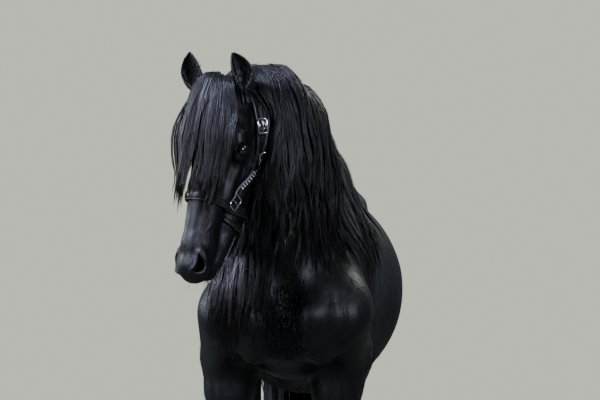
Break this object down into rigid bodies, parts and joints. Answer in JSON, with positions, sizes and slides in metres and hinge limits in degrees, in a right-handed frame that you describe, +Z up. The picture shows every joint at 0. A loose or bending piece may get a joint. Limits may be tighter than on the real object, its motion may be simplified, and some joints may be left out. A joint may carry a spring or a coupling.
{
  "type": "friesian horse model",
  "caption": "Still life-size model of a black horse standing with arched neck and turned head, long mane, tail and feathers, wearing a halter.",
  "frame": {"origin": "on the floor, under the middle of the horse's bounding box", "axes": "+Z up, +X to the horse's own left, +Y from its breast to its tail"},
  "size_m": [0.6482, 2.1266, 1.8979],
  "materials": {
    "coat": "glossy black coat and long hair",
    "horn": "dark hoof horn",
    "eyeball": "wet dark brown eye",
    "strap_leather": "black polished halter leather",
    "silver_metal": "bright silver-coloured metal",
    "stones": "clear cut glass stones in pale cups"
  },
  "bodies": {
    "root": {"torso": "coat", "neck": "coat", "head": "coat", "tail": "coat", "foreleg_left": "coat", "foreleg_right": "coat", "hind_leg_left": "coat", "hind_leg_right": "coat", "fore_hoof_left": "horn", "fore_hoof_right": "horn", "hind_hoof_left": "horn", "hind_hoof_right": "horn", "ear_left": "coat", "ear_right": "coat", "eye_left": "eyeball", "eye_right": "eyeball", "halter_nose_ring_left": "silver_metal", "halter_nose_ring_right": "silver_metal", "halter_cheek_ring_left": "silver_metal", "halter_cheek_ring_right": "silver_metal", "halter_buckle_left": "silver_metal", "halter_buckle_right": "silver_metal", "halter_noseband": "strap_leather", "halter_chin_strap": "strap_leather", "halter_crown_strap": "strap_leather", "halter_cheek_strap_left": "strap_leather", "halter_cheek_strap_right": "strap_leather", "halter_stones_left": "stones", "halter_stones_right": "stones"}
  },
  "joints": []
}
